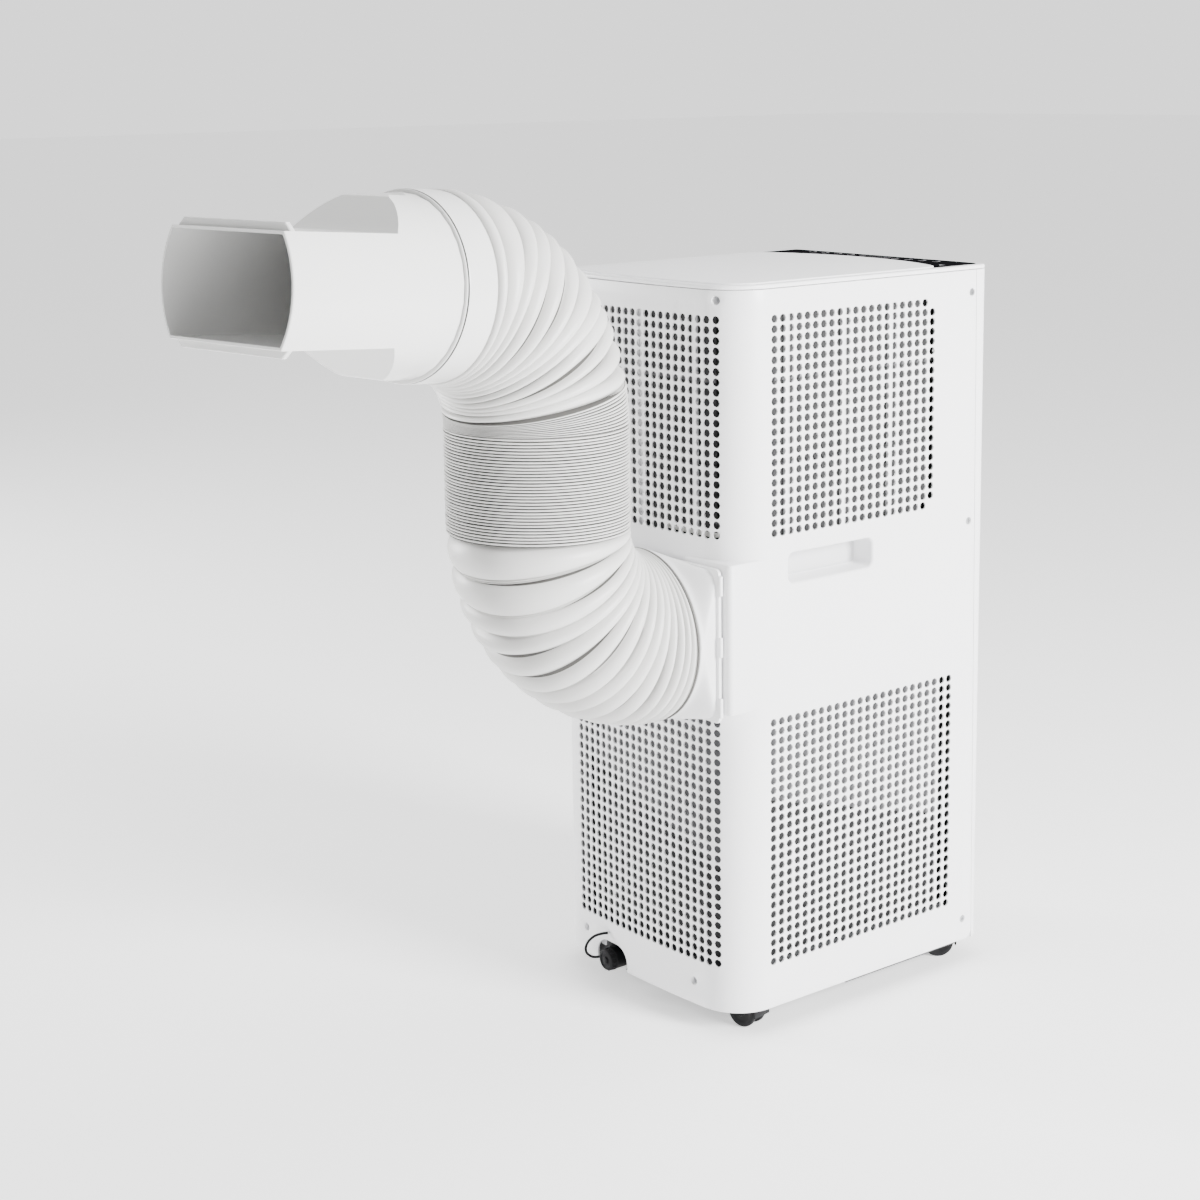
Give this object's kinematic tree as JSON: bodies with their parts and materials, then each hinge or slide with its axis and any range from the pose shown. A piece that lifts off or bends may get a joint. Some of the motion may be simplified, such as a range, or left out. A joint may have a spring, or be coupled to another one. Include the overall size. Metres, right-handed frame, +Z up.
{
  "type": "portable air conditioner",
  "caption": "Slim upright portable air conditioner on casters, with perforated rear panels, a black control strip on top and a bendable exhaust duct with a flat window nozzle.",
  "frame": {"origin": "on the floor, under the middle of the whole object, duct included", "axes": "+Z up; the front with the air outlet faces -Y; the duct leaves the rear towards +Y; X runs across"},
  "size_m": [0.2985, 0.7956, 0.7764],
  "materials": {
    "body_white": "fine satin moulded white plastic",
    "hose_white": "semi-matte flexible corrugated plastic, slightly grey in the folds",
    "nozzle_white": "smooth satin white plastic",
    "fascia_black": "gloss black touch panel",
    "caster_black": "black moulded plastic",
    "rubber_black": "matte black rubber",
    "pan_grey": "dark grey moulded plastic",
    "steel": "zinc-plated steel",
    "copper": "bare copper tube",
    "fin_metal": "aluminium fins",
    "motor_grey": "grey painted steel",
    "board_green": "green circuit board",
    "foam_white": "white expanded foam and moulded plastic",
    "black_plastic": "black moulded plastic"
  },
  "bodies": {
    "housing": {"rear_cover": "body_white", "front_cover": "body_white", "top_cover": "body_white", "control_fascia": "fascia_black", "control_board": "board_green", "base_pan": "pan_grey", "side_screw_1": "steel", "side_screw_2": "steel", "side_screw_3": "steel", "side_screw_4": "steel", "side_screw_5": "steel", "side_screw_6": "steel", "rear_screw_1": "steel", "rear_screw_2": "steel", "rear_screw_3": "steel", "rear_screw_4": "steel", "partition_deck": "foam_white", "evaporator": "fin_metal", "evap_scroll": "foam_white", "evap_motor": "motor_grey", "electrical_box": "foam_white", "run_capacitor": "steel", "louver_frame": "black_plastic", "air_filter_left": "foam_white", "air_filter_right": "foam_white", "air_filter_rear": "foam_white", "condenser": "fin_metal", "compressor": "black_plastic", "suction_accumulator": "black_plastic", "discharge_pipe": "copper", "suction_pipe": "copper", "exhaust_scroll": "foam_white", "exhaust_motor": "motor_grey", "float_switch": "black_plastic", "drain_spout": "pan_grey", "drain_plug_strap": "rubber_black", "cord_gland": "black_plastic", "duct_adapter": "body_white"},
    "evap_fan": {"evap_wheel": "black_plastic"},
    "exhaust_fan": {"exhaust_wheel": "black_plastic"},
    "louver_flap": {"louver_flap": "body_white"},
    "drain_plug": {"drain_plug": "rubber_black"},
    "hose_lower": {"hose_collar": "hose_white", "hose_lower_bend": "hose_white", "hose_middle": "hose_white"},
    "hose_upper": {"hose_upper_bend": "hose_white"},
    "hose_end": {"nozzle_collar": "nozzle_white"},
    "nozzle": {"nozzle": "nozzle_white"},
    "caster_rear_left": {"caster_hood_rear_left": "caster_black"},
    "wheels_rear_left": {"caster_wheels_rear_left": "caster_black"},
    "caster_front_left": {"caster_hood_front_left": "caster_black"},
    "wheels_front_left": {"caster_wheels_front_left": "caster_black"},
    "caster_rear_right": {"caster_hood_rear_right": "caster_black"},
    "wheels_rear_right": {"caster_wheels_rear_right": "caster_black"},
    "caster_front_right": {"caster_hood_front_right": "caster_black"},
    "wheels_front_right": {"caster_wheels_front_right": "caster_black"},
    "louver_vane_1": {"louver_vane_1": "black_plastic"},
    "louver_vane_2": {"louver_vane_2": "black_plastic"},
    "louver_vane_3": {"louver_vane_3": "black_plastic"},
    "louver_vane_4": {"louver_vane_4": "black_plastic"}
  },
  "joints": [
    {"name": "caster_swivel_rear_left", "type": "hinge", "parent": "housing", "child": "caster_rear_left", "pos_m": [-0.08085, -0.11223, 0.03], "axis": [0, 0, 1], "continuous": true},
    {"name": "caster_roll_rear_left", "type": "hinge", "parent": "caster_rear_left", "child": "wheels_rear_left", "pos_m": [-0.08971, -0.1138, 0.015], "axis": [-0.1736, 0.9848, 0], "continuous": true},
    {"name": "caster_swivel_front_left", "type": "hinge", "parent": "housing", "child": "caster_front_left", "pos_m": [-0.08085, -0.36223, 0.03], "axis": [0, 0, 1], "continuous": true},
    {"name": "caster_roll_front_left", "type": "hinge", "parent": "caster_front_left", "child": "wheels_front_left", "pos_m": [-0.08663, -0.36913, 0.015], "axis": [-0.766, 0.6428, 0], "continuous": true},
    {"name": "caster_swivel_rear_right", "type": "hinge", "parent": "housing", "child": "caster_rear_right", "pos_m": [0.11415, -0.11223, 0.03], "axis": [0, 0, 1], "continuous": true},
    {"name": "caster_roll_rear_right", "type": "hinge", "parent": "caster_rear_right", "child": "wheels_rear_right", "pos_m": [0.10529, -0.1138, 0.015], "axis": [-0.1736, 0.9848, 0], "continuous": true},
    {"name": "caster_swivel_front_right", "type": "hinge", "parent": "housing", "child": "caster_front_right", "pos_m": [0.11415, -0.36223, 0.03], "axis": [0, 0, 1], "continuous": true},
    {"name": "caster_roll_front_right", "type": "hinge", "parent": "caster_front_right", "child": "wheels_front_right", "pos_m": [0.10837, -0.36913, 0.015], "axis": [-0.766, 0.6428, 0], "continuous": true},
    {"name": "vane_1_turn", "type": "hinge", "parent": "housing", "child": "louver_vane_1", "pos_m": [-0.04335, -0.38373, 0.621], "axis": [0, 0, 1], "range_deg": [-30, 30]},
    {"name": "vane_2_turn", "type": "hinge", "parent": "housing", "child": "louver_vane_2", "pos_m": [-0.00335, -0.38373, 0.621], "axis": [0, 0, 1], "range_deg": [-30, 30]},
    {"name": "vane_3_turn", "type": "hinge", "parent": "housing", "child": "louver_vane_3", "pos_m": [0.03665, -0.38373, 0.621], "axis": [0, 0, 1], "range_deg": [-30, 30]},
    {"name": "vane_4_turn", "type": "hinge", "parent": "housing", "child": "louver_vane_4", "pos_m": [0.07665, -0.38373, 0.621], "axis": [0, 0, 1], "range_deg": [-30, 30]},
    {"name": "evap_fan_spin", "type": "hinge", "parent": "housing", "child": "evap_fan", "pos_m": [0.01665, -0.26623, 0.56], "axis": [1, 0, 0], "continuous": true},
    {"name": "exhaust_fan_spin", "type": "hinge", "parent": "housing", "child": "exhaust_fan", "pos_m": [-0.02265, -0.23623, 0.295], "axis": [1, 0, 0], "continuous": true},
    {"name": "louver_flap_open", "type": "hinge", "parent": "housing", "child": "louver_flap", "pos_m": [0.01665, -0.39373, 0.599], "axis": [1, 0, 0], "range_deg": [0, 60]},
    {"name": "drain_plug_pull", "type": "slide", "parent": "housing", "child": "drain_plug", "axis": [0, 1, 0], "range_m": [0, 0.02]},
    {"name": "hose_swivel", "type": "hinge", "parent": "housing", "child": "hose_lower", "pos_m": [-0.02265, -0.05123, 0.367], "axis": [0, 1, 0], "range_deg": [-30, 30]},
    {"name": "hose_extend", "type": "slide", "parent": "hose_lower", "child": "hose_upper", "axis": [0, 0, 1], "range_m": [0, 0.3], "deforming": ["hose_middle"]},
    {"name": "hose_flex", "type": "hinge", "parent": "hose_upper", "child": "hose_end", "pos_m": [-0.04127, 0.18918, 0.57], "axis": [-0.989, -0.1478, 0], "range_deg": [-20, 15], "deforming": ["hose_upper_bend"]},
    {"name": "nozzle_twist", "type": "hinge", "parent": "hose_end", "child": "nozzle", "pos_m": [-0.04479, 0.21271, 0.69832], "axis": [-0.1473, 0.9858, 0.0802], "range_deg": [-90, 90]}
  ],
  "couplings": [
    {"joint": "vane_2_turn", "follows": "vane_1_turn", "ratio": 1},
    {"joint": "vane_3_turn", "follows": "vane_1_turn", "ratio": 1},
    {"joint": "vane_4_turn", "follows": "vane_1_turn", "ratio": 1}
  ]
}
